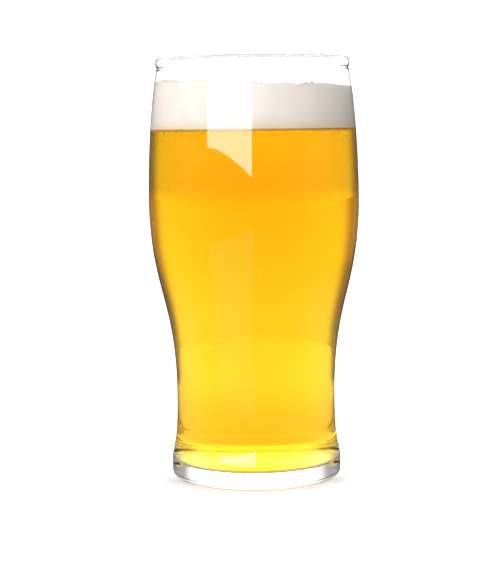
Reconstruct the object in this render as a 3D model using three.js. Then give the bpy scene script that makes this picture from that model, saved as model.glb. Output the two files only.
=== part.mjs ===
// A pint of ale: a clear tulip glass, the ale that fills it and the head of foam on the ale.
// Millimetres, +Z up. The origin is the centre of the foot, on the surface that the glass stands on.
import * as THREE from "three";

// Driving dimensions of the glass
const HEIGHT = 160.5;
const HEEL_HEIGHT = 2.4; // top of the foot's rounded lower edge
const FOOT = { radius: 32.7, height: 5.4 }; // top of the foot's upright part
const WAIST = { radius: 30.55, height: 29.9 }; // narrowest ring
const BULGE = { radius: 40.35, height: 108.5 }; // widest ring
const NECK = { radius: 36.8, height: 155.6 }; // where the wall is straight under the rim's bead
const NECK_LEAN = 0.2; // radius lost for each millimetre of height at the neck
const FOOT_CURVE = 7.3; // how far each ring's upright tangent reaches along the outline
const WAIST_CURVE_DOWN = 20.2;
const WAIST_CURVE_UP = 40.5;
const BULGE_CURVE_DOWN = 37.6;
const BULGE_CURVE_UP = 7.1;
const NECK_CURVE_DOWN = 14.3;

const WALL_AT_NECK = 1.5;
const WALL_AT_BULGE = 1.6;
const WALL_AT_WAIST = 2.2;
const BEAD_THICKNESS = 2.1;
const BEAD_OVERHANG = 0.25; // how far the bead stands out past the neck
const BEAD_MIDDLE = 158.6;
const BEAD_START = THREE.MathUtils.degToRad(-58); // where the bead leaves the wall, from its widest ring

const BEARING_RING = { inner: 25, outer: 30.8 }; // the flat ring that the glass stands on
const PUSH_UP = 0.4; // height of the hollow under the base
const FLOOR_HEIGHT = 5.6; // top of the thick base
const FLOOR_RADIUS = 25.8; // flat part of the floor inside
const FLOOR_CORNER = { radius: 28.3, height: 8.5 }; // where the rounded corner becomes the wall
const FLOOR_CORNER_CURVE = 1.6; // how far the corner's tangents reach

// Driving dimensions of the drink
const ALE_LEVEL = 133.6;
const FIT_GAP = 0.3; // clearance between the drink, its foam and the glass
const FOAM_TOP = 149.8; // mean height of the foam at the wall
const FOAM_SLOPE = 0.038; // the foam falls by this much for each millimetre towards +X
const FOAM_DOME = 0.6; // rise of the foam's middle
const LUMP_COUNT = 40;
const LUMP_RADIUS = { least: 4, most: 8 };
const LUMP_HEIGHT = { least: 0.3, most: 1.3 };
const LUMP_SEED = 7;

// How finely the shapes are cut
const SEGMENTS = 64; // steps round the axis
const FOAM_RINGS = 9; // steps from the wall to the middle of the foam
const STEPS = { hollow: 4, heel: 4, foot: 6, body: 11, shoulder: 8, bead: 8, floorCorner: 5 };

const point = (radius, height) => new THREE.Vector2(radius, height);

// Points along a curve, without its first one, so that curves follow on from each other.
function along(curve, steps) {
  return curve.getPoints(steps).slice(1);
}

function bezier(start, leave, arrive, end) {
  return new THREE.CubicBezierCurve(start, leave, arrive, end);
}

function footToWaist() {
  return bezier(
    point(FOOT.radius, FOOT.height),
    point(FOOT.radius, FOOT.height + FOOT_CURVE),
    point(WAIST.radius, WAIST.height - WAIST_CURVE_DOWN),
    point(WAIST.radius, WAIST.height),
  );
}

// Waist to bulge and bulge to neck are each set in from the outer face by a wall.
function waistToBulge(wallAtWaist, wallAtBulge) {
  return bezier(
    point(WAIST.radius - wallAtWaist, WAIST.height),
    point(WAIST.radius - wallAtWaist, WAIST.height + WAIST_CURVE_UP),
    point(BULGE.radius - wallAtBulge, BULGE.height - BULGE_CURVE_DOWN),
    point(BULGE.radius - wallAtBulge, BULGE.height),
  );
}

function bulgeToNeck(wallAtBulge, wallAtNeck) {
  const neck = NECK.radius - wallAtNeck;
  return bezier(
    point(BULGE.radius - wallAtBulge, BULGE.height),
    point(BULGE.radius - wallAtBulge, BULGE.height + BULGE_CURVE_UP),
    point(neck + NECK_LEAN * NECK_CURVE_DOWN, NECK.height - NECK_CURVE_DOWN),
    point(neck, NECK.height),
  );
}

// The inside of the glass from the middle of its floor to the neck, set in by a clearance.
function insideProfile(clearance) {
  const atWaist = WALL_AT_WAIST + clearance;
  const atBulge = WALL_AT_BULGE + clearance;
  const floor = FLOOR_HEIGHT + clearance;
  const cornerRadius = FLOOR_CORNER.radius - clearance;
  const corner = bezier(
    point(FLOOR_RADIUS, floor),
    point(FLOOR_RADIUS + FLOOR_CORNER_CURVE, floor),
    point(cornerRadius, FLOOR_CORNER.height - FLOOR_CORNER_CURVE),
    point(cornerRadius, FLOOR_CORNER.height),
  );
  return [
    point(0, floor),
    point(FLOOR_RADIUS, floor),
    ...along(corner, STEPS.floorCorner),
    point(WAIST.radius - atWaist, WAIST.height),
    ...along(waistToBulge(atWaist, atBulge), STEPS.body),
    ...along(bulgeToNeck(atBulge, WALL_AT_NECK + clearance), STEPS.shoulder),
  ];
}

// Radius of an upright profile at one height, between its neighbouring points.
function radiusAt(profile, height) {
  const upper = profile.findIndex((p) => p.y > height);
  const [low, high] = [profile[upper - 1], profile[upper]];
  return low.x + ((high.x - low.x) * (height - low.y)) / (high.y - low.y);
}

// A profile spun round the vertical axis.
function spun(profile) {
  return new THREE.LatheGeometry(profile, SEGMENTS).rotateX(Math.PI / 2);
}

function glassGeometry() {
  const heel = new THREE.QuadraticBezierCurve(
    point(BEARING_RING.outer, 0),
    point(FOOT.radius, 0),
    point(FOOT.radius, HEEL_HEIGHT),
  );
  const hollow = new THREE.QuadraticBezierCurve(
    point(0, PUSH_UP),
    point(BEARING_RING.inner / 2, PUSH_UP),
    point(BEARING_RING.inner, 0),
  );
  const bead = new THREE.EllipseCurve(
    NECK.radius + BEAD_OVERHANG - BEAD_THICKNESS / 2,
    BEAD_MIDDLE,
    BEAD_THICKNESS / 2,
    HEIGHT - BEAD_MIDDLE,
    BEAD_START,
    Math.PI,
  );
  return spun([
    point(0, PUSH_UP),
    ...along(hollow, STEPS.hollow),
    point(BEARING_RING.outer, 0),
    ...along(heel, STEPS.heel),
    point(FOOT.radius, FOOT.height),
    ...along(footToWaist(), STEPS.foot),
    ...along(waistToBulge(0, 0), STEPS.body),
    ...along(bulgeToNeck(0, 0), STEPS.shoulder),
    ...bead.getPoints(STEPS.bead),
    ...insideProfile(0).reverse(),
  ]);
}

function aleGeometry() {
  const inside = insideProfile(FIT_GAP);
  return spun([
    ...inside.filter((p) => p.y < ALE_LEVEL),
    point(radiusAt(inside, ALE_LEVEL), ALE_LEVEL),
    point(0, ALE_LEVEL),
  ]);
}

// Repeatable numbers from 0 to 1: a multiplicative generator modulo the prime 2^31 - 1.
function seededDraws(seed) {
  let state = seed;
  return () => {
    state = (state * 16807) % 2147483647;
    return state / 2147483647;
  };
}

// Low rounded lumps of froth, scattered over the foam.
function foamLumps(foamRadius) {
  const draw = seededDraws(LUMP_SEED);
  const between = ({ least, most }) => least + (most - least) * draw();
  return Array.from({ length: LUMP_COUNT }, () => {
    const reach = foamRadius * Math.sqrt(draw());
    const turn = 2 * Math.PI * draw();
    return {
      x: reach * Math.cos(turn),
      y: reach * Math.sin(turn),
      radius: between(LUMP_RADIUS),
      height: between(LUMP_HEIGHT),
    };
  });
}

// Height of the foam's surface over a point of the plan.
function foamSurface(x, y, foamRadius, lumps) {
  const out = Math.hypot(x, y) / foamRadius;
  const raised = lumps.map((lump) => {
    const away = Math.hypot(x - lump.x, y - lump.y) / lump.radius;
    return away < 1 ? lump.height * (1 - away * away) ** 2 : 0;
  });
  return FOAM_TOP - FOAM_SLOPE * x + FOAM_DOME * (1 - out * out) + Math.max(...raised);
}

// The foam is spun with a flat top, whose points then rise or sink to the surface and keep off the wall.
function foamGeometry() {
  const inside = insideProfile(FIT_GAP);
  const bottom = ALE_LEVEL + FIT_GAP;
  const topRadius = radiusAt(inside, FOAM_TOP);
  const side = [
    point(0, bottom),
    point(radiusAt(inside, bottom), bottom),
    ...inside.filter((p) => p.y > bottom && p.y < FOAM_TOP),
  ];
  const top = Array.from({ length: FOAM_RINGS + 1 }, (_, ring) =>
    point(topRadius * (1 - ring / FOAM_RINGS), FOAM_TOP),
  );
  const profile = [...side, ...top];
  const geometry = spun(profile);
  const lumps = foamLumps(topRadius);
  const position = geometry.getAttribute("position");
  for (let i = 0; i < position.count; i += 1) {
    if (i % profile.length < side.length) continue;
    const [x, y] = [position.getX(i), position.getY(i)];
    const surface = foamSurface(x, y, topRadius, lumps);
    const fitted = Math.min(1, radiusAt(inside, surface) / Math.hypot(x, y));
    position.setXYZ(i, x * fitted, y * fitted, surface);
  }
  return geometry;
}

function mesh(name, geometry, material) {
  const made = new THREE.Mesh(geometry, new THREE.MeshStandardMaterial(material));
  made.name = name;
  return made;
}

const pint = new THREE.Group();
pint.name = "pint_of_ale";
pint.add(
  mesh("glass", glassGeometry(), {
    color: 0xf4f6f6,
    roughness: 0.02,
    metalness: 0,
    transparent: true,
    opacity: 0.3,
  }),
  mesh("ale", aleGeometry(), { color: 0xf7ae14, roughness: 0.05, metalness: 0 }),
  mesh("foam", foamGeometry(), { color: 0xf6f0e4, roughness: 0.85, metalness: 0 }),
);

export default pint;
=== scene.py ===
"""A pint of golden ale in a clear tulip glass, with its foam and bubbles, on a white studio table.

The packed solids give the sizes. Each piece is spun or scattered at its real size, in metres, +Z up.
"""

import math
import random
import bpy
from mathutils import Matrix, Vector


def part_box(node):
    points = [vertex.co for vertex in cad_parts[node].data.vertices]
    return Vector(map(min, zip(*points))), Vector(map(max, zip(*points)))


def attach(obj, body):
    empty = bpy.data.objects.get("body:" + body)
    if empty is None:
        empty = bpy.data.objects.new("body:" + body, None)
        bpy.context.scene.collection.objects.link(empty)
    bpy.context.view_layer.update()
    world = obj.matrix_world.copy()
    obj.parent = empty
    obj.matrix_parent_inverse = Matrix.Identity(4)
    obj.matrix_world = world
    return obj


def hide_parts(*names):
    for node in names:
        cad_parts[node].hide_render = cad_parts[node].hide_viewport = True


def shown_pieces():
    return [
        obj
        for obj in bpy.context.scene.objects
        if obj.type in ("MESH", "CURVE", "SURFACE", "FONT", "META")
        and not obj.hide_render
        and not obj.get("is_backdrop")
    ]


bl_info = {
    "name": "Pint of Ale",
    "version": (1, 0, 0),
    "blender": (4, 5, 0),
    "location": "View3D > Sidebar > Pint",
    "description": "Builds a tulip pint glass, its ale, foam and bubbles, and a white studio",
    "category": "Add Mesh",
}

import bmesh
import bpy
import numpy as np
from bpy.props import FloatProperty, FloatVectorProperty, IntProperty, PointerProperty
from mathutils import Matrix, Vector, noise
from mathutils.geometry import interpolate_bezier

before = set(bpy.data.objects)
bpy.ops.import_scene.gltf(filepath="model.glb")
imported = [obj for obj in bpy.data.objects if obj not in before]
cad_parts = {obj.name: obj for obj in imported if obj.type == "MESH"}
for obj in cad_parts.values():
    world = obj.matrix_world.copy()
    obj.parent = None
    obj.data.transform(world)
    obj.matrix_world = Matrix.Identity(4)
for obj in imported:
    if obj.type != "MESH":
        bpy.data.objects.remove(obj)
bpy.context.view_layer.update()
GLASS_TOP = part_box("glass")[1]
ALE_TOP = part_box("ale")[1]

MM = 0.001
BODY = "root"
FULL_TURN = 2 * math.pi
ROUND_ARC = 0.5523  # handle length of a quarter circle drawn as a Bezier curve
BEAD_START = math.radians(-58)  # where the rim's bead leaves the wall outside, from its widest ring

# How finely the pieces are cut
TURN_STEPS = 160  # steps round the axis of a spun piece
HOLLOW_STEPS = 16  # steps along each stretch of the section
HEEL_STEPS = 12
FOOT_STEPS = 24
BODY_STEPS = 40
SHOULDER_STEPS = 30
BEAD_STEPS = 24
NECK_STEPS = 8
CORNER_STEPS = 16
WALL_STEPS = 10
FOAM_RINGS = 90  # steps from the wall to the middle of the foam
FROTH_BUBBLE_CUT = (8, 6)  # segments and rings of a small ball
ALE_BUBBLE_CUT = (8, 4)
MERGE_DISTANCE = 0.001 * MM
SHARP_EDGE = math.radians(50)

# How light meets the drink
ALE_IOR = 1.34
WET_SHEEN = 0.02  # share of a reflection that is left where ale wets the glass
HEAD_SCATTER = 6 * MM  # how far light goes into the fine froth of the head
BUBBLE_SCATTER = 0.6 * MM  # how far light goes into a single larger bubble


def linear(code):
    """Linear RGBA of an sRGB hex colour."""
    channels = [int(code[i : i + 2], 16) / 255 for i in (0, 2, 4)]
    return (*(c / 12.92 if c <= 0.04045 else ((c + 0.055) / 1.055) ** 2.4 for c in channels), 1.0)


def length(name, millimetres, description):
    """A length that a user can change, given in millimetres and kept in metres."""
    return FloatProperty(
        name=name, description=description, default=millimetres * MM, unit="LENGTH", precision=5
    )


def colour(name, code, description):
    """A colour that a user can change, given as sRGB hex."""
    return FloatVectorProperty(
        name=name, description=description, default=linear(code), size=4, subtype="COLOR"
    )


def strength(name, amount, description):
    """A plain number that a user can change."""
    return FloatProperty(name=name, description=description, default=amount, subtype="FACTOR", soft_max=20)


def angle(name, degrees, description):
    """An angle that a user can change, given in degrees."""
    return FloatProperty(
        name=name, description=description, default=math.radians(degrees), subtype="ANGLE"
    )


class GlassSizes(bpy.types.PropertyGroup):
    """Outline of the tulip glass."""

    height: length("Height", GLASS_TOP.z / MM, "From the table to the top of the rim")
    foot_radius: length("Foot radius", 32.7, "Widest ring of the foot")
    heel_height: length("Heel height", 2.4, "Height of the foot's rounded lower edge")
    foot_height: length("Foot height", 5.4, "Top of the foot's upright part")
    foot_curve: length("Foot curve", 7.3, "How far the foot's upright tangent reaches")
    waist_radius: length("Waist radius", 30.55, "Narrowest ring")
    waist_height: length("Waist height", 29.9, "Height of the narrowest ring")
    waist_curve_down: length("Waist curve down", 20.2, "Reach of the waist's tangent towards the foot")
    waist_curve_up: length("Waist curve up", 40.5, "Reach of the waist's tangent towards the bulge")
    bulge_radius: length("Bulge radius", GLASS_TOP.x / MM, "Widest ring")
    bulge_height: length("Bulge height", 108.5, "Height of the widest ring")
    bulge_curve_down: length("Bulge curve down", 37.6, "Reach of the bulge's tangent towards the waist")
    bulge_curve_up: length("Bulge curve up", 7.1, "Reach of the bulge's tangent towards the neck")
    neck_radius: length("Neck radius", 36.8, "Where the wall meets the rim's bead")
    neck_height: length("Neck height", 155.6, "Height where the wall meets the bead")
    neck_curve: length("Neck curve", 14.3, "Reach of the neck's tangent towards the bulge")
    neck_lean: strength("Neck lean", 0.2, "Radius lost for each unit of height at the neck")
    wall_at_neck: length("Wall at neck", 1.5, "Thickness of the wall under the bead")
    wall_at_bulge: length("Wall at bulge", 1.6, "Thickness of the wall at the widest ring")
    wall_at_waist: length("Wall at waist", 2.2, "Thickness of the wall at the narrowest ring")
    bead_thickness: length("Bead thickness", 2.1, "Thickness of the rounded rim")
    bead_overhang: length("Bead overhang", 0.25, "How far the bead stands out past the neck")
    bead_middle: length("Bead middle", 158.6, "Height of the bead's widest ring")
    bearing_inner: length("Bearing ring inside", 25, "Inner radius of the flat ring that it stands on")
    bearing_outer: length("Bearing ring outside", 30.8, "Outer radius of the flat ring that it stands on")
    push_up: length("Push-up", 0.4, "Height of the hollow under the base")
    floor_height: length("Floor height", 5.6, "Top of the thick base")
    floor_radius: length("Floor radius", 25.8, "Flat part of the floor inside")
    corner_radius: length("Corner radius", 28.3, "Radius where the floor's corner becomes the wall")
    corner_height: length("Corner height", 8.5, "Height where the floor's corner becomes the wall")
    corner_curve: length("Corner curve", 1.6, "How far the tangents of the floor's corner reach")


class DrinkSizes(bpy.types.PropertyGroup):
    """The ale, its foam and its bubbles."""

    ale_level: length("Ale level", ALE_TOP.z / MM, "Height of the ale under the foam")
    ale_bite: length("Ale in wall", 0.12, "How far the ale reaches into the wall, so that no gap shows")
    foam_bite: length("Foam in wall", 0.2, "How far the foam reaches into the wall, so that no gap shows")
    foam_sink: length("Foam in ale", 0.7, "How far the foam reaches into the ale")
    foam_gap: length("Foam plan gap", 0.3, "Clearance of the solid foam, which sets the lumps' places")
    foam_top: length("Foam top", 149.8, "Mean height of the foam at the wall")
    foam_slope: strength("Foam slope", 0.038, "Fall of the foam for each unit of length towards +X")
    foam_dome: length("Foam dome", 0.6, "Rise of the foam's middle")
    lump_count: IntProperty(name="Lumps", description="Low lumps on the foam", default=40, min=1)
    lump_seed: IntProperty(name="Lump seed", description="Seed of the lumps' places", default=7, min=1)
    lump_radius_least: length("Least lump radius", 4, "Radius of the smallest lump")
    lump_radius_most: length("Most lump radius", 8, "Radius of the largest lump")
    lump_height_least: length("Least lump height", 0.3, "Height of the lowest lump")
    lump_height_most: length("Most lump height", 1.3, "Height of the highest lump")
    froth_relief: length("Froth relief", 0.35, "Height of the fine froth on the lumps")
    froth_grain: length("Froth grain", 2.6, "Width of the fine froth on the lumps")
    froth_bubble_count: IntProperty(
        name="Froth bubbles", description="Bubbles that lie on the foam", default=900, min=0
    )
    froth_bubble_least: length("Least froth bubble", 0.25, "Radius of the smallest bubble on the foam")
    froth_bubble_most: length("Most froth bubble", 1.1, "Radius of the largest bubble on the foam")
    ale_bubble_count: IntProperty(
        name="Ale bubbles", description="Bubbles that rise in the ale", default=3000, min=0
    )
    ale_bubble_least: length("Least ale bubble", 0.07, "Radius of the smallest bubble in the ale")
    ale_bubble_most: length("Most ale bubble", 0.24, "Radius of the largest bubble in the ale")
    bubble_seed: IntProperty(name="Bubble seed", description="Seed of the bubbles' places", default=11)


class Finishes(bpy.types.PropertyGroup):
    """Colours of the materials."""

    glass_tint: colour("Glass tint", "FDFEFE", "Colour of light after it has passed the glass")
    ale_absorption: colour("Ale colour", "FEF185", "What the ale lets through: plain golden malt")
    ale_density: FloatProperty(
        name="Ale density", description="Absorption of the ale for each metre", default=106, min=0
    )
    foam_pale: colour("Foam", "FDF7F3", "Dry foam")
    foam_shade: colour("Foam shade", "F5E8E0", "Wetter foam between the bubbles")
    # Partly real and partly painted light: foam that the ale soaks, made paler and warmer as if the ale's
    # glow lit it from below
    wet_foam_and_painted_glow: colour("Wet foam", "FFEACB", "Foam that the ale soaks, at its lower edge")
    # Painted shade: a dark orange-brown band just under the ale's level, standing in for the meniscus and
    # the foam's shadow there
    painted_shade_under_foam: colour("Sunk foam", "DE9A3A", "Fine froth just under the ale's level")
    table: colour("Table", "F2F2F2", "White acrylic table")


class StudioLook(bpy.types.PropertyGroup):
    """Light and camera of the studio."""

    backdrop: strength("Backdrop", 1.55, "Brightness of the white backdrop")
    strip: strength("Strip", 4.6, "Brightness of a strip of light on the backdrop, above the picture")
    horizon: strength("Horizon", 1.48, "Brightness of the backdrop where it meets the table")
    backdrop_left: strength("Backdrop left", 0.93, "Share of the backdrop's brightness at its left end")
    surround: strength("Surround", 0.42, "Brightness of the room at the sides")
    front: strength("Front", 1.25, "Brightness of the room behind the camera")
    ceiling: strength("Ceiling", 0.6, "Brightness of the white ceiling")
    mirrored: strength("Mirrored", 0.04, "Share of the room's light that shows in reflections")
    # Painted contact shadow: the table glows less in front of the foot than behind it
    glow_before: strength("Glow before glass", 0.45, "Light that the table gives in front of the foot")
    glow_behind: strength("Glow behind glass", 1.6, "Light that the table gives behind the foot")
    # Painted shade: the table glows less just off the foot than in the pool of light further out
    glow_at_glass: strength("Glow at glass", 0.92, "Light that the table gives a little way off the foot")
    glow_in_pool: strength("Glow in pool", 1.38, "Light that the table gives in a ring round the glass")
    glow_far: strength("Glow far off", 0.88, "Light that the table gives far from the glass")
    glow_edge: strength("Glow at edge", 1.2, "Light that the table gives at its far edge")
    softbox: strength("Softbox", 8.0, "Brightness of the softbox at the front left")
    softbox_image: strength("Softbox image", 0.045, "Share of the softbox that the table mirrors")
    softbox_distance: length("Softbox distance", 1300, "How far the softbox stands from the glass")
    softbox_left: length("Softbox left", 520, "Width to the left of the softbox's middle")
    softbox_right: length("Softbox right", 670, "Width to the right of the softbox's middle")
    softbox_low: length("Softbox low", 152, "Height of the softbox's lowest corner")
    softbox_rise: length("Softbox rise", 88, "How much higher its lower edge is at the left")
    softbox_high: length("Softbox high", 900, "Height of the softbox's upper edge")
    softbox_turn: angle("Softbox turn", 29, "Direction of the softbox, to the left of the camera")
    card: strength("Card", 1.54, "Brightness of the low white card behind the glass")
    card_distance: length("Card distance", 1200, "How far the card stands from the glass")
    card_height: length("Card height", 30, "Height of the card")
    card_spread: angle("Card spread", 84, "How far the card bends round the glass")
    key: strength("Key light", 7.4, "Brightness of the panel that lights the foam")
    key_distance: length("Key distance", 1400, "How far the panel stands from the glass")
    key_width: length("Key width", 1200, "Width of the panel")
    key_height: length("Key height", 1000, "Height of the panel")
    key_turn: angle("Key turn", 42, "Direction of the panel, to the left of the camera")
    key_climb: angle("Key climb", 45, "How high the panel stands over the glass")
    lens: FloatProperty(
        name="Lens",
        description="Focal length in millimetres on a 36 mm long side",
        default=100.4,
        unit="CAMERA",
    )
    camera_distance: length("Camera distance", 603.3, "How far in front of the glass the camera stands")
    camera_offset: length("Camera offset", -2.6, "How far to the right of the glass the camera stands")
    camera_height: length("Camera height", 134.35, "Height of the camera over the table")
    camera_pitch: angle("Pitch", 5.61, "Downward tilt of the camera")
    camera_roll: angle("Roll", 0.648, "Clockwise roll of the camera")


def curve(start, leave, arrive, end, steps):
    """Points of a Bezier curve in the plane of radius and height, without its first one."""
    corners = [Vector((radius, 0, height)) for radius, height in (start, leave, arrive, end)]
    return interpolate_bezier(*corners, steps + 1)[1:]


def waist_to_bulge(g, wall_at_waist, wall_at_bulge):
    """The wall from waist to bulge, set in from the outer face."""
    waist, bulge = g.waist_radius - wall_at_waist, g.bulge_radius - wall_at_bulge
    return curve(
        (waist, g.waist_height),
        (waist, g.waist_height + g.waist_curve_up),
        (bulge, g.bulge_height - g.bulge_curve_down),
        (bulge, g.bulge_height),
        BODY_STEPS,
    )


def bulge_to_neck(g, wall_at_bulge, wall_at_neck):
    """The wall from bulge to neck, set in from the outer face."""
    bulge, neck = g.bulge_radius - wall_at_bulge, g.neck_radius - wall_at_neck
    return curve(
        (bulge, g.bulge_height),
        (bulge, g.bulge_height + g.bulge_curve_up),
        (neck + g.neck_lean * g.neck_curve, g.neck_height - g.neck_curve),
        (neck, g.neck_height),
        SHOULDER_STEPS,
    )


def inside_outline(g, clearance):
    """The inside of the glass from the middle of its floor to the neck, set in by a clearance."""
    at_waist, at_bulge = g.wall_at_waist + clearance, g.wall_at_bulge + clearance
    floor, corner = g.floor_height + clearance, g.corner_radius - clearance
    rounded = curve(
        (g.floor_radius, floor),
        (g.floor_radius + g.corner_curve, floor),
        (corner, g.corner_height - g.corner_curve),
        (corner, g.corner_height),
        CORNER_STEPS,
    )
    waist = g.waist_radius - at_waist
    rise = (g.waist_height - g.corner_height) / 3
    wall = curve(
        (corner, g.corner_height),
        (corner, g.corner_height + rise),
        (waist, g.waist_height - rise),
        (waist, g.waist_height),
        WALL_STEPS,
    )
    return [
        Vector((0, 0, floor)),
        Vector((g.floor_radius, 0, floor)),
        *rounded,
        *wall,
        *waist_to_bulge(g, at_waist, at_bulge),
        *bulge_to_neck(g, at_bulge, g.wall_at_neck + clearance),
    ]


def glass_outline(g):
    """The whole section of the glass, from the hollow under the base round the rim to the floor inside."""
    hollow = curve(
        (0, g.push_up),
        (g.bearing_inner / 3, g.push_up),
        (g.bearing_inner * 2 / 3, g.push_up / 3),
        (g.bearing_inner, 0),
        HOLLOW_STEPS,
    )
    heel_out = g.foot_radius - g.bearing_outer
    heel = curve(
        (g.bearing_outer, 0),
        (g.bearing_outer + heel_out * ROUND_ARC, 0),
        (g.foot_radius, g.heel_height * (1 - ROUND_ARC)),
        (g.foot_radius, g.heel_height),
        HEEL_STEPS,
    )
    foot = curve(
        (g.foot_radius, g.foot_height),
        (g.foot_radius, g.foot_height + g.foot_curve),
        (g.waist_radius, g.waist_height - g.waist_curve_down),
        (g.waist_radius, g.waist_height),
        FOOT_STEPS,
    )
    half = g.bead_thickness / 2
    middle = g.neck_radius + g.bead_overhang - half
    bead = []
    for step in range(BEAD_STEPS + 1):
        turn = BEAD_START + (math.pi - BEAD_START) * step / BEAD_STEPS
        height = g.bead_middle + (g.height - g.bead_middle) * math.sin(turn)
        bead.append(Vector((middle + half * math.cos(turn), 0, height)))
    neck_inside = g.neck_radius - g.wall_at_neck
    third = (g.bead_middle - g.neck_height) / 3
    neck_inner = curve(
        (middle - half, g.bead_middle),
        (middle - half, g.bead_middle - third),
        (neck_inside - g.neck_lean * third, g.neck_height + third),
        (neck_inside, g.neck_height),
        NECK_STEPS,
    )
    return [
        Vector((0, 0, g.push_up)),
        *hollow,
        Vector((g.bearing_outer, 0, 0)),
        *heel,
        Vector((g.foot_radius, 0, g.foot_height)),
        *foot,
        *waist_to_bulge(g, 0, 0),
        *bulge_to_neck(g, 0, 0),
        *bead,
        *neck_inner,
        *reversed(inside_outline(g, 0)[:-1]),
    ]


def radius_at(outline, height):
    """Radius of an upright outline at one height."""
    for low, high in zip(outline, outline[1:]):
        if low.z <= height < high.z:
            return low.x + (high.x - low.x) * (height - low.z) / (high.z - low.z)
    raise ValueError(f"the outline has no point at {height}")


def spun(outline):
    """A bmesh of an outline turned once round the axis, closed at its poles."""
    made = bmesh.new()
    points = [made.verts.new(point) for point in outline]
    edges = [made.edges.new(pair) for pair in zip(points, points[1:])]
    bmesh.ops.spin(
        made,
        geom=points + edges,
        cent=(0, 0, 0),
        axis=(0, 0, 1),
        angle=FULL_TURN,
        steps=TURN_STEPS,
        use_merge=True,
    )
    bmesh.ops.remove_doubles(made, verts=made.verts, dist=MERGE_DISTANCE)
    bmesh.ops.recalc_face_normals(made, faces=made.faces)
    return made


def mesh_of(name, made):
    """Turns a bmesh into a mesh."""
    mesh = bpy.data.meshes.new(name)
    made.to_mesh(mesh)
    made.free()
    return mesh


def joined_balls(name, balls, cut):
    """A mesh of many small balls, each given by its centre and radius and copied from one by arrays."""
    segments, rings = cut
    ball = bmesh.new()
    bmesh.ops.create_uvsphere(ball, u_segments=segments, v_segments=rings, radius=1)
    points = np.array([vert.co for vert in ball.verts])
    faces = [[vert.index for vert in face.verts] for face in ball.faces]
    ball.free()
    centres = np.array([centre for centre, _ in balls])
    radii = np.array([radius for _, radius in balls])
    all_points = centres[:, None, :] + radii[:, None, None] * points
    all_faces = [[i + copy * len(points) for i in face] for copy in range(len(balls)) for face in faces]
    mesh = bpy.data.meshes.new(name)
    mesh.from_pydata(all_points.reshape(-1, 3), [], all_faces)
    return mesh


def placed(name, mesh, material, replaced=None):
    """Makes a mesh a smooth piece of the pint, which stands for a solid if one is named."""
    mesh.shade_smooth()
    mesh.set_sharp_from_angle(angle=SHARP_EDGE)
    mesh.materials.append(material)
    piece = bpy.data.objects.new(name, mesh)
    bpy.context.collection.objects.link(piece)
    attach(piece, BODY)
    if replaced:
        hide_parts(replaced)
    return piece


def add_node(tree, kind, inputs=None, **settings):
    """Adds a node with its settings, and sets or links its inputs."""
    node = tree.nodes.new(kind)
    for name, value in settings.items():
        setattr(node, name, value)
    for name, value in (inputs or {}).items():
        if isinstance(value, bpy.types.NodeSocket):
            tree.links.new(value, node.inputs[name])
        else:
            node.inputs[name].default_value = value
    return node


def new_material(name):
    """An empty node material and its tree."""
    material = bpy.data.materials.new(name)
    material.use_nodes = True
    material.node_tree.nodes.clear()
    return material, material.node_tree


def clear_glass(finish, name, sheen):
    """Pressed and fire-polished soda-lime glass: clear, with sharp reflections that waver a little.

    Where ale wets the glass inside, the reflections are nearly gone, so they have their own sheen.
    """
    material, tree = new_material(name)
    place = add_node(tree, "ShaderNodeTexCoord")
    wave_width, wave_depth = 28 * MM, 0.03 * MM
    waves = add_node(
        tree,
        "ShaderNodeTexNoise",
        {"Vector": place.outputs["Object"], "Scale": 1 / wave_width, "Detail": 1.0},
    )
    bump = add_node(
        tree,
        "ShaderNodeBump",
        {"Height": waves.outputs["Fac"], "Strength": 1.0, "Distance": wave_depth},
    )
    surface = add_node(
        tree,
        "ShaderNodeBsdfPrincipled",
        {
            "Base Color": finish.glass_tint,
            "Roughness": 0.0,
            "IOR": 1.52,
            "Specular Tint": (sheen, sheen, sheen, 1),
            "Transmission Weight": 1.0,
            "Normal": bump.outputs["Normal"],
        },
    )
    add_node(tree, "ShaderNodeOutputMaterial", {"Surface": surface.outputs["BSDF"]})
    return material


def golden_ale(finish):
    """Clear malt ale: light turns yellow, then orange, the further it travels through it."""
    material, tree = new_material("clear_golden_ale")
    surface = add_node(
        tree,
        "ShaderNodeBsdfPrincipled",
        {
            "Base Color": (1, 1, 1, 1),
            "Roughness": 0.0,
            "IOR": ALE_IOR,
            "Specular Tint": (WET_SHEEN, WET_SHEEN, WET_SHEEN, 1),
            "Transmission Weight": 1.0,
        },
    )
    volume = add_node(
        tree,
        "ShaderNodeVolumeAbsorption",
        {"Color": finish.ale_absorption, "Density": finish.ale_density},
    )
    add_node(
        tree,
        "ShaderNodeOutputMaterial",
        {"Surface": surface.outputs["BSDF"], "Volume": volume.outputs["Volume"]},
    )
    return material


def gas_bubble():
    """Gas in ale, drawn as a clear ball that bends light as much: a bright bead with a dark outline."""
    material, tree = new_material("gas_bubble_in_ale")
    surface = add_node(
        tree,
        "ShaderNodeBsdfPrincipled",
        {"Base Color": (1, 1, 1, 1), "Roughness": 0.0, "IOR": 1.33, "Transmission Weight": 1.0},
    )
    add_node(tree, "ShaderNodeOutputMaterial", {"Surface": surface.outputs["BSDF"]})
    return material


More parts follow.
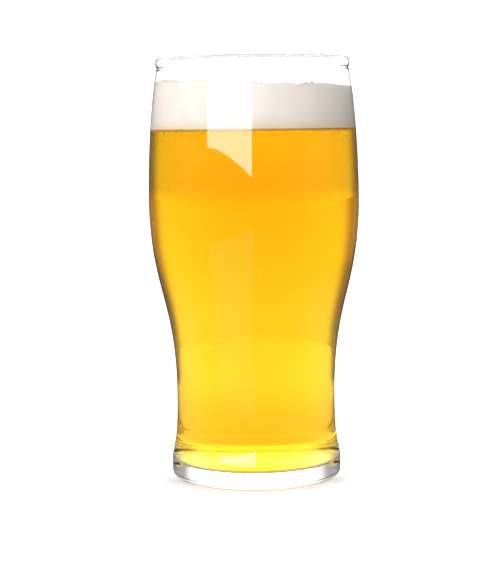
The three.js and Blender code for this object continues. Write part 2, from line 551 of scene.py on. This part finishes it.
def ale_foam(finish, drink, name, scatter):
    """Moist froth: soft, white and a little translucent. Its lower edge is golden where the ale soaks it,
    made paler and warmer by painted light from the ale's glow below, with a band of painted shade just
    under the ale's level.

    Light goes deep into the fine froth of the head, and less far into a single larger bubble.
    """
    material, tree = new_material(name)
    place = add_node(tree, "ShaderNodeTexCoord")
    cell_width, cell_depth = 0.9 * MM, 0.2 * MM  # coarser than fine froth is, so that the cells show
    cells = add_node(
        tree,
        "ShaderNodeTexVoronoi",
        {"Vector": place.outputs["Object"], "Scale": 1 / cell_width},
        feature="SMOOTH_F1",
    )
    drift_width = 9 * MM
    drift = add_node(
        tree,
        "ShaderNodeTexNoise",
        {"Vector": place.outputs["Object"], "Scale": 1 / drift_width, "Detail": 3.0},
    )
    mottled = add_node(
        tree,
        "ShaderNodeMix",
        {"Factor": drift.outputs["Fac"], "A": finish.foam_pale, "B": finish.foam_shade},
        data_type="RGBA",
    )
    height = add_node(tree, "ShaderNodeSeparateXYZ", {"Vector": place.outputs["Object"]})
    # Real soaking and painted light: the foam's lower edge takes the warm wet colour of the ale's glow,
    # fading out upwards
    soak_height = 4.5 * MM
    soaked_and_lit = add_node(
        tree,
        "ShaderNodeMapRange",
        {
            "Value": height.outputs["Z"],
            "From Min": drink.ale_level,
            "From Max": drink.ale_level + soak_height,
            "To Min": 0.9,
            "To Max": 0.0,
        },
        interpolation_type="SMOOTHSTEP",
    )
    tinted = add_node(
        tree,
        "ShaderNodeMix",
        {
            "Factor": soaked_and_lit.outputs["Result"],
            "A": mottled.outputs["Result"],
            "B": finish.wet_foam_and_painted_glow,
        },
        data_type="RGBA",
    )
    # Painted shade: the froth just under the ale's level turns dark orange-brown, in place of the meniscus
    # and the foam's shadow
    film_below, film_above = 0.15 * MM, 0.25 * MM
    under = add_node(
        tree,
        "ShaderNodeMapRange",
        {
            "Value": height.outputs["Z"],
            "From Min": drink.ale_level - film_below,
            "From Max": drink.ale_level + film_above,
            "To Min": 1.0,
            "To Max": 0.0,
        },
        interpolation_type="SMOOTHSTEP",
    )
    colours = add_node(
        tree,
        "ShaderNodeMix",
        {"Factor": under.outputs["Result"], "A": tinted.outputs["Result"], "B": finish.painted_shade_under_foam},
        data_type="RGBA",
    )
    bump = add_node(
        tree,
        "ShaderNodeBump",
        {"Height": cells.outputs["Distance"], "Strength": 0.5, "Distance": cell_depth},
        invert=True,
    )
    surface = add_node(
        tree,
        "ShaderNodeBsdfPrincipled",
        {
            "Base Color": colours.outputs["Result"],
            "Roughness": 0.7,
            "IOR": ALE_IOR,
            "Subsurface Weight": 0.9,
            "Subsurface Radius": (1.0, 0.75, 0.45),
            "Subsurface Scale": scatter,
            "Normal": bump.outputs["Normal"],
        },
    )
    add_node(tree, "ShaderNodeOutputMaterial", {"Surface": surface.outputs["BSDF"]})
    return material


def seeded_draws(seed):
    """Repeatable numbers from 0 to 1: a multiplicative generator modulo the prime 2^31 - 1."""
    factor, prime = 16807, 2**31 - 1
    state = seed
    while True:
        state = state * factor % prime
        yield state / prime


def foam_lumps(drink, foam_radius):
    """Place, radius and height of each low lump, as the solid foam has them."""
    draws = seeded_draws(drink.lump_seed)
    lumps = []
    for _ in range(drink.lump_count):
        reach, turn = foam_radius * math.sqrt(next(draws)), FULL_TURN * next(draws)
        radius = drink.lump_radius_least
        radius += (drink.lump_radius_most - drink.lump_radius_least) * next(draws)
        height = drink.lump_height_least
        height += (drink.lump_height_most - drink.lump_height_least) * next(draws)
        lumps.append((Vector((reach * math.cos(turn), reach * math.sin(turn))), radius, height))
    return lumps


def foam_surface(drink, foam_radius, lumps, x, y):
    """Height of the foam over a point of the plan: a slope, a dome, lumps and fine froth."""
    here = Vector((x, y))
    level = drink.foam_top - drink.foam_slope * x
    level += drink.foam_dome * (1 - (here.length / foam_radius) ** 2)
    raised = [
        height * (1 - ((here - centre).length / radius) ** 2) ** 2
        for centre, radius, height in lumps
        if (here - centre).length < radius
    ]
    smoothness, finer_by, layers = 0.8, 2.0, 3
    froth = noise.fractal(Vector((x, y, 0)) / drink.froth_grain, smoothness, finer_by, layers)
    return level + max(raised, default=0) + drink.froth_relief * froth


class PINT_OT_glass(bpy.types.Operator):
    """Spin the tulip glass from its section"""

    bl_idname = "pint.glass"
    bl_label = "Tulip glass"

    def execute(self, context):
        glass, drink = context.scene.pint_glass, context.scene.pint_drink
        finish = context.scene.pint_finish
        mesh = mesh_of("tulip_glass", spun(glass_outline(glass)))
        dry = clear_glass(finish, "fire_polished_clear_glass", sheen=1.0)
        placed("tulip_glass", mesh, dry, "glass")
        mesh.materials.append(clear_glass(finish, "clear_glass_wetted_by_ale", sheen=WET_SHEEN))
        into_wall = 0.2 * MM  # past the inner face, so that all its faces lie within
        inside = inside_outline(glass, -into_wall)
        for face in mesh.polygons:
            middle = face.center
            if inside[0].z < middle.z < drink.foam_top:
                wetted = math.hypot(middle.x, middle.y) < radius_at(inside, middle.z)
                face.material_index = int(wetted)
        return {"FINISHED"}


class PINT_OT_ale(bpy.types.Operator):
    """Fill the glass with ale, just into its wall"""

    bl_idname = "pint.ale"
    bl_label = "Ale"

    def execute(self, context):
        drink = context.scene.pint_drink
        inside = inside_outline(context.scene.pint_glass, -drink.ale_bite)
        outline = [point for point in inside if point.z < drink.ale_level]
        outline.append(Vector((radius_at(inside, drink.ale_level), 0, drink.ale_level)))
        outline.append(Vector((0, 0, drink.ale_level)))
        mesh = mesh_of("golden_ale", spun(outline))
        placed("golden_ale", mesh, golden_ale(context.scene.pint_finish), "ale")
        return {"FINISHED"}


class PINT_OT_foam(bpy.types.Operator):
    """Set the lumpy head of foam on the ale"""

    bl_idname = "pint.foam"
    bl_label = "Foam"

    def execute(self, context):
        glass, drink = context.scene.pint_glass, context.scene.pint_drink
        inside = inside_outline(glass, -drink.foam_bite)
        bottom = drink.ale_level - drink.foam_sink
        edge = radius_at(inside, drink.foam_top)
        side = [point for point in inside if bottom < point.z < drink.foam_top]
        reaches = [edge * (1 - ring / FOAM_RINGS) for ring in range(FOAM_RINGS + 1)]
        top = [Vector((reach, 0, drink.foam_top)) for reach in reaches]
        made = spun([Vector((0, 0, bottom)), Vector((radius_at(inside, bottom), 0, bottom)), *side, *top])
        plan_radius = radius_at(inside_outline(glass, drink.foam_gap), drink.foam_top)
        lumps = foam_lumps(drink, plan_radius)
        for vert in made.verts:
            if vert.co.z > drink.foam_top - MERGE_DISTANCE:
                level = foam_surface(drink, plan_radius, lumps, vert.co.x, vert.co.y)
                out = math.hypot(vert.co.x, vert.co.y)
                fitted = min(1.0, radius_at(inside, level) / out) if out > 0 else 1.0
                vert.co = Vector((vert.co.x * fitted, vert.co.y * fitted, level))
        bmesh.ops.recalc_face_normals(made, faces=made.faces)
        froth = ale_foam(context.scene.pint_finish, drink, "fine_moist_froth", HEAD_SCATTER)
        placed("foam_head", mesh_of("foam_head", made), froth, "foam")
        return {"FINISHED"}


class PINT_OT_froth_bubbles(bpy.types.Operator):
    """Scatter larger bubbles over the foam"""

    bl_idname = "pint.froth_bubbles"
    bl_label = "Froth bubbles"

    def execute(self, context):
        glass, drink = context.scene.pint_glass, context.scene.pint_drink
        draw = random.Random(drink.bubble_seed)
        plan_radius = radius_at(inside_outline(glass, drink.foam_gap), drink.foam_top)
        lumps = foam_lumps(drink, plan_radius)
        balls = []
        spread = drink.froth_bubble_most - drink.froth_bubble_least
        small_ones, least_sunk, most_sunk = 4, 0.1, 0.6
        for _ in range(drink.froth_bubble_count):
            radius = drink.froth_bubble_least + spread * draw.random() ** small_ones
            reach = (plan_radius - radius) * math.sqrt(draw.random())
            turn = FULL_TURN * draw.random()
            x, y = reach * math.cos(turn), reach * math.sin(turn)
            level = foam_surface(drink, plan_radius, lumps, x, y)
            balls.append(((x, y, level - radius * draw.uniform(least_sunk, most_sunk)), radius))
        froth = ale_foam(context.scene.pint_finish, drink, "coarse_moist_froth", BUBBLE_SCATTER)
        mesh = joined_balls("froth_bubbles", balls, FROTH_BUBBLE_CUT)
        placed("froth_bubbles", mesh, froth)
        return {"FINISHED"}


class PINT_OT_ale_bubbles(bpy.types.Operator):
    """Scatter fine bubbles in the ale, most of them high up and near the wall"""

    bl_idname = "pint.ale_bubbles"
    bl_label = "Ale bubbles"

    def execute(self, context):
        drink = context.scene.pint_drink
        draw = random.Random(drink.bubble_seed)
        inside = inside_outline(context.scene.pint_glass, 0)
        floor = context.scene.pint_glass.floor_height
        balls = []
        spread = drink.ale_bubble_most - drink.ale_bubble_least
        depths, shares = (0.8 * MM, 12 * MM, 60 * MM), (0.2, 0.6, 0.2)
        small_ones, near_wall, widest = 2, 0.35, 0.88
        for _ in range(drink.ale_bubble_count):
            radius = drink.ale_bubble_least + spread * draw.random() ** small_ones
            depth = draw.expovariate(1) * draw.choices(depths, shares)[0]
            height = max(floor + 4 * radius, drink.ale_level - 2 * radius - depth)
            wall = radius_at(inside, height) - 2 * radius
            reach = widest * wall * draw.random() ** near_wall
            turn = FULL_TURN * draw.random()
            balls.append(((reach * math.cos(turn), reach * math.sin(turn), height), radius))
        mesh = joined_balls("ale_bubbles", balls, ALE_BUBBLE_CUT)
        placed("ale_bubbles", mesh, gas_bubble())
        return {"FINISHED"}


# Where the table's light changes, from the axis, along Y or off the line behind the glass
FOOT_LINE = (-20 * MM, 20 * MM)
FOOT_RING = (34 * MM, 42 * MM)
POOL_RING = (40 * MM, 320 * MM)
FAR_RING = (1200 * MM, 1600 * MM)
TABLE_RADIUS = 3000 * MM
EDGE_RING = (2000 * MM, TABLE_RADIUS)
# Painted shade: off to the sides, the table's glow fades out
UNLIT_RING = (140 * MM, 300 * MM)
UNLIT_TURN = (math.radians(37), math.radians(53))


def white_acrylic(finish, look):
    """Satin white acrylic table with a soft reflection. Its glow is painted light: a pool of light round
    the glass, a painted contact shadow at and in front of the foot, and painted shade off to the sides.
    """
    material, tree = new_material("satin_white_acrylic")
    place = add_node(tree, "ShaderNodeTexCoord")
    away = add_node(
        tree, "ShaderNodeVectorMath", {0: place.outputs["Object"]}, operation="LENGTH"
    )
    spot = add_node(tree, "ShaderNodeSeparateXYZ", {"Vector": place.outputs["Object"]})
    near_glow = add_node(
        tree,
        "ShaderNodeMapRange",
        {
            "Value": away.outputs["Value"],
            "From Min": POOL_RING[0],
            "From Max": POOL_RING[1],
            "To Min": look.glow_at_glass,
            "To Max": look.glow_in_pool,
        },
        interpolation_type="SMOOTHSTEP",
    )
    glow = add_node(
        tree,
        "ShaderNodeMapRange",
        {
            "Value": spot.outputs["Y"],
            "From Min": FOOT_LINE[0],
            "From Max": FOOT_LINE[1],
            "To Min": look.glow_before,
            "To Max": look.glow_behind,
        },
        interpolation_type="SMOOTHSTEP",
    )
    for ring, brightness in (
        (FOOT_RING, near_glow.outputs["Result"]),
        (FAR_RING, look.glow_far),
        (EDGE_RING, look.glow_edge),
    ):
        glow = add_node(
            tree,
            "ShaderNodeMapRange",
            {
                "Value": away.outputs["Value"],
                "From Min": ring[0],
                "From Max": ring[1],
                "To Min": glow.outputs["Result"],
                "To Max": brightness,
            },
            interpolation_type="SMOOTHSTEP",
        )
    across = add_node(tree, "ShaderNodeMath", {0: spot.outputs["X"]}, operation="ABSOLUTE")
    turn = add_node(
        tree, "ShaderNodeMath", {0: across.outputs[0], 1: spot.outputs["Y"]}, operation="ARCTAN2"
    )
    unlit = []
    for measure, (lit_end, unlit_start) in (
        (turn.outputs[0], UNLIT_TURN),
        (away.outputs["Value"], UNLIT_RING),
    ):
        fade = add_node(
            tree,
            "ShaderNodeMapRange",
            {"Value": measure, "From Min": lit_end, "From Max": unlit_start},
            interpolation_type="SMOOTHSTEP",
        )
        unlit.append(fade.outputs["Result"])
    sides = add_node(tree, "ShaderNodeMath", {0: unlit[0], 1: unlit[1]}, operation="MULTIPLY")
    light = add_node(
        tree, "ShaderNodeMix", {"Factor": sides.outputs[0], "A": glow.outputs["Result"], "B": 0.0}
    )
    surface = add_node(
        tree,
        "ShaderNodeBsdfPrincipled",
        {
            "Base Color": finish.table,
            "Roughness": 0.22,
            "IOR": 1.49,
            "Emission Color": finish.table,
            "Emission Strength": light.outputs["Result"],
        },
    )
    add_node(tree, "ShaderNodeOutputMaterial", {"Surface": surface.outputs["BSDF"]})
    return material


def glowing_cloth(brightness, seen=True):
    """White diffuser cloth of a softbox, evenly lit from behind. Unseen cloth only lights matt things."""
    material, tree = new_material("white_diffuser_cloth")
    shining = brightness
    if not seen:
        path = add_node(tree, "ShaderNodeLightPath")
        from_matt = add_node(
            tree, "ShaderNodeMath", {0: path.outputs["Diffuse Depth"], 1: 1.0}, operation="MINIMUM"
        )
        lighting = add_node(
            tree, "ShaderNodeMath", {0: from_matt.outputs[0], 1: brightness}, operation="MULTIPLY"
        )
        shining = lighting.outputs[0]
    surface = add_node(tree, "ShaderNodeEmission", {"Color": (1, 1, 1, 1), "Strength": shining})
    add_node(tree, "ShaderNodeOutputMaterial", {"Surface": surface.outputs["Emission"]})
    return material


def staged(name, made, material):
    """Turns a bmesh into a thing of the studio."""
    mesh = mesh_of(name, made)
    mesh.materials.append(material)
    thing = bpy.data.objects.new(name, mesh)
    bpy.context.collection.objects.link(thing)
    thing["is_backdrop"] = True
    return thing


# Where the room's light changes: turns off the line behind the glass, and the Y or Z of a direction
BACKDROP_ENDS = ((-48, -30), (52, 33))  # degrees, each from outside the backdrop to its full light
BACKDROP_FALLOFF = (-30, 5)  # degrees
STRIP_ENDS = (18, 34)  # degrees
HORIZON_RISE = (-0.02, 0.05)
STRIP_START = (0.12, 0.17)
STRIP_STOP = (0.27, 0.33)
CEILING_RISE = (0.35, 0.65)
FRONT_TO_SIDES = (-0.3, 0.3)


def studio_world(look):
    """A white room with a backdrop that is bright behind the glass. Reflections see the room dimmer."""
    world = bpy.data.worlds.new("white_studio")
    world.use_nodes = True
    tree = world.node_tree
    tree.nodes.clear()
    place = add_node(tree, "ShaderNodeTexCoord")
    way = add_node(tree, "ShaderNodeSeparateXYZ", {"Vector": place.outputs["Generated"]})
    turn = add_node(
        tree, "ShaderNodeMath", {0: way.outputs["X"], 1: way.outputs["Y"]}, operation="ARCTAN2"
    )
    edges = []
    for outer, inner in BACKDROP_ENDS:
        edge = add_node(
            tree,
            "ShaderNodeMapRange",
            {
                "Value": turn.outputs[0],
                "From Min": math.radians(outer),
                "From Max": math.radians(inner),
            },
            interpolation_type="SMOOTHSTEP",
        )
        edges.append(edge.outputs["Result"])
    behind = add_node(tree, "ShaderNodeMath", {0: edges[0], 1: edges[1]}, operation="MULTIPLY")
    backdrop = add_node(
        tree,
        "ShaderNodeMapRange",
        {
            "Value": way.outputs["Z"],
            "From Min": HORIZON_RISE[0],
            "From Max": HORIZON_RISE[1],
            "To Min": look.horizon,
            "To Max": look.backdrop,
        },
        interpolation_type="SMOOTHSTEP",
    )
    falloff = add_node(
        tree,
        "ShaderNodeMapRange",
        {
            "Value": turn.outputs[0],
            "From Min": math.radians(BACKDROP_FALLOFF[0]),
            "From Max": math.radians(BACKDROP_FALLOFF[1]),
            "To Min": look.backdrop_left,
            "To Max": 1.0,
        },
    )
    aside = add_node(tree, "ShaderNodeMath", {0: turn.outputs[0]}, operation="ABSOLUTE")
    strip_light = add_node(
        tree,
        "ShaderNodeMapRange",
        {
            "Value": aside.outputs[0],
            "From Min": math.radians(STRIP_ENDS[0]),
            "From Max": math.radians(STRIP_ENDS[1]),
            "To Min": look.strip,
            "To Max": look.backdrop,
        },
        interpolation_type="SMOOTHSTEP",
    )
    for (low, high), brightness in (
        (STRIP_START, strip_light.outputs["Result"]),
        (STRIP_STOP, look.backdrop),
    ):
        backdrop = add_node(
            tree,
            "ShaderNodeMapRange",
            {
                "Value": way.outputs["Z"],
                "From Min": low,
                "From Max": high,
                "To Min": backdrop.outputs["Result"],
                "To Max": brightness,
            },
            interpolation_type="SMOOTHSTEP",
        )
    lit_backdrop = add_node(
        tree,
        "ShaderNodeMath",
        {0: backdrop.outputs["Result"], 1: falloff.outputs["Result"]},
        operation="MULTIPLY",
    )
    room = add_node(
        tree,
        "ShaderNodeMapRange",
        {
            "Value": way.outputs["Y"],
            "From Min": FRONT_TO_SIDES[0],
            "From Max": FRONT_TO_SIDES[1],
            "To Min": look.front,
            "To Max": look.surround,
        },
        interpolation_type="SMOOTHSTEP",
    )
    walls = add_node(
        tree,
        "ShaderNodeMix",
        {"Factor": behind.outputs[0], "A": room.outputs["Result"], "B": lit_backdrop.outputs[0]},
    )
    light = add_node(
        tree,
        "ShaderNodeMapRange",
        {
            "Value": way.outputs["Z"],
            "From Min": CEILING_RISE[0],
            "From Max": CEILING_RISE[1],
            "To Min": walls.outputs["Result"],
            "To Max": look.ceiling,
        },
        interpolation_type="SMOOTHSTEP",
    )
    path = add_node(tree, "ShaderNodeLightPath")
    mirrored = add_node(
        tree,
        "ShaderNodeMath",
        {0: path.outputs["Is Glossy Ray"], 1: path.outputs["Is Reflection Ray"]},
        operation="MULTIPLY",
    )
    share = add_node(
        tree,
        "ShaderNodeMapRange",
        {"Value": mirrored.outputs[0], "To Min": 1.0, "To Max": look.mirrored},
    )
    seen = add_node(
        tree,
        "ShaderNodeMath",
        {0: light.outputs["Result"], 1: share.outputs["Result"]},
        operation="MULTIPLY",
    )
    background = add_node(
        tree, "ShaderNodeBackground", {"Color": (1, 1, 1, 1), "Strength": seen.outputs[0]}
    )
    add_node(tree, "ShaderNodeOutputWorld", {"Surface": background.outputs["Background"]})
    return world


HALF = 0.5  # half the side of a square of one metre
TABLE_SEGMENTS = 96
SOFTBOX_STEPS = 12  # steps along its swept lower edge
SOFTBOX_SWEEP = 1.6  # how late the lower edge drops
SOFTBOX_FLARE = 1.3  # how much further its upper edge reaches to the left
CARD_STEPS = 48
SENSOR_WIDTH = 36
NEAREST_SEEN = 10 * MM
CLEAR_BOUNCES = 24  # light crosses many faces of glass, ale and bubbles
MIRROR_BOUNCES = 8


class PINT_OT_stage(bpy.types.Operator):
    """Set up the table, the light and the camera"""

    bl_idname = "pint.stage"
    bl_label = "Studio"

    def execute(self, context):
        look, finish = context.scene.pint_studio, context.scene.pint_finish
        context.scene.world = studio_world(look)

        table = bmesh.new()
        bmesh.ops.create_circle(table, cap_ends=True, segments=TABLE_SEGMENTS, radius=TABLE_RADIUS)
        top = staged("table", table, white_acrylic(finish, look))
        top.visible_glossy = False

        for name, side, share in (("softbox", 1, 1.0), ("softbox_image", -1, look.softbox_image)):
            softbox = bmesh.new()
            bmesh.ops.create_grid(softbox, x_segments=SOFTBOX_STEPS, y_segments=1, size=HALF)
            for vert in softbox.verts:
                across = vert.co.x + HALF
                left = look.softbox_left * (1.0 if vert.co.y < 0 else SOFTBOX_FLARE)
                low = look.softbox_low + look.softbox_rise * (1 - across**SOFTBOX_SWEEP)
                height = low if vert.co.y < 0 else look.softbox_high
                x = across * (left + look.softbox_right) - left
                vert.co = (x, -look.softbox_distance, side * height)
            turn = Matrix.Rotation(-look.softbox_turn, 4, "Z")
            bmesh.ops.transform(softbox, matrix=turn, verts=softbox.verts)
            box = staged(name, softbox, glowing_cloth(look.softbox * share))
            box.visible_camera = False
            box.visible_diffuse = False
            box.visible_transmission = False

        card = bmesh.new()
        half = look.card_spread / 2
        ring = [Vector((0, look.card_distance, z)) for z in (0, look.card_height)]
        ends = [card.verts.new(Matrix.Rotation(half, 3, "Z") @ point) for point in ring]
        edge = card.edges.new(ends)
        bmesh.ops.spin(
            card,
            geom=[*ends, edge],
            cent=(0, 0, 0),
            axis=(0, 0, -1),
            angle=look.card_spread,
            steps=CARD_STEPS,
        )
        low_card = staged("low_card", card, glowing_cloth(look.card))
        low_card.visible_glossy = False

        pieces = bpy.data.collections.new("lit_by_key_light")
        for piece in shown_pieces():
            pieces.objects.link(piece)
        panel = bmesh.new()
        bmesh.ops.create_grid(panel, x_segments=1, y_segments=1, size=HALF)
        place = (
            Matrix.Rotation(-look.key_turn, 4, "Z")
            @ Matrix.Rotation(math.radians(90) - look.key_climb, 4, "X")
            @ Matrix.Translation((0, 0, look.key_distance))
            @ Matrix.Diagonal((look.key_width, look.key_height, 1, 1))
        )
        bmesh.ops.transform(panel, matrix=place, verts=panel.verts)
        key = staged("key_light", panel, glowing_cloth(look.key, seen=False))
        key.visible_camera = False
        key.visible_glossy = False
        key.light_linking.receiver_collection = pieces

        camera = bpy.data.objects.new("camera", bpy.data.cameras.new("camera"))
        camera.data.lens = look.lens
        camera.data.sensor_width = SENSOR_WIDTH
        camera.data.clip_start = NEAREST_SEEN
        context.collection.objects.link(camera)
        camera.matrix_world = (
            Matrix.Translation((look.camera_offset, -look.camera_distance, look.camera_height))
            @ Matrix.Rotation(math.radians(90) - look.camera_pitch, 4, "X")
            @ Matrix.Rotation(-look.camera_roll, 4, "Z")
        )
        context.scene.camera = camera
        context.scene.view_settings.view_transform = "Standard"
        context.scene.cycles.max_bounces = CLEAR_BOUNCES
        context.scene.cycles.transmission_bounces = CLEAR_BOUNCES
        context.scene.cycles.glossy_bounces = MIRROR_BOUNCES
        return {"FINISHED"}


OPERATORS = (
    PINT_OT_glass,
    PINT_OT_ale,
    PINT_OT_foam,
    PINT_OT_froth_bubbles,
    PINT_OT_ale_bubbles,
    PINT_OT_stage,
)
SETTINGS = {
    "pint_glass": GlassSizes,
    "pint_drink": DrinkSizes,
    "pint_finish": Finishes,
    "pint_studio": StudioLook,
}


class PINT_PT_sidebar(bpy.types.Panel):
    """Lists the pieces of the pint and their sizes"""

    bl_idname = "PINT_PT_sidebar"
    bl_label = "Pint of Ale"
    bl_space_type = "VIEW_3D"
    bl_region_type = "UI"
    bl_category = "Pint"

    def draw(self, context):
        for operator in OPERATORS:
            self.layout.operator(operator.bl_idname)
        for name, group in SETTINGS.items():
            box = self.layout.box()
            box.label(text=group.__doc__)
            for setting in group.__annotations__:
                box.prop(getattr(context.scene, name), setting)


CLASSES = (*SETTINGS.values(), *OPERATORS, PINT_PT_sidebar)


def register():
    """Adds the settings, the operators and the panel."""
    for cls in CLASSES:
        bpy.utils.register_class(cls)
    for name, group in SETTINGS.items():
        setattr(bpy.types.Scene, name, PointerProperty(type=group))


def unregister():
    """Takes away what register adds."""
    for name in SETTINGS:
        delattr(bpy.types.Scene, name)
    for cls in reversed(CLASSES):
        bpy.utils.unregister_class(cls)


def main():
    """Builds the pint and its studio."""
    register()
    bpy.ops.pint.glass()
    bpy.ops.pint.ale()
    bpy.ops.pint.foam()
    bpy.ops.pint.froth_bubbles()
    bpy.ops.pint.ale_bubbles()
    bpy.ops.pint.stage()


if __name__ == "__main__":
    main()
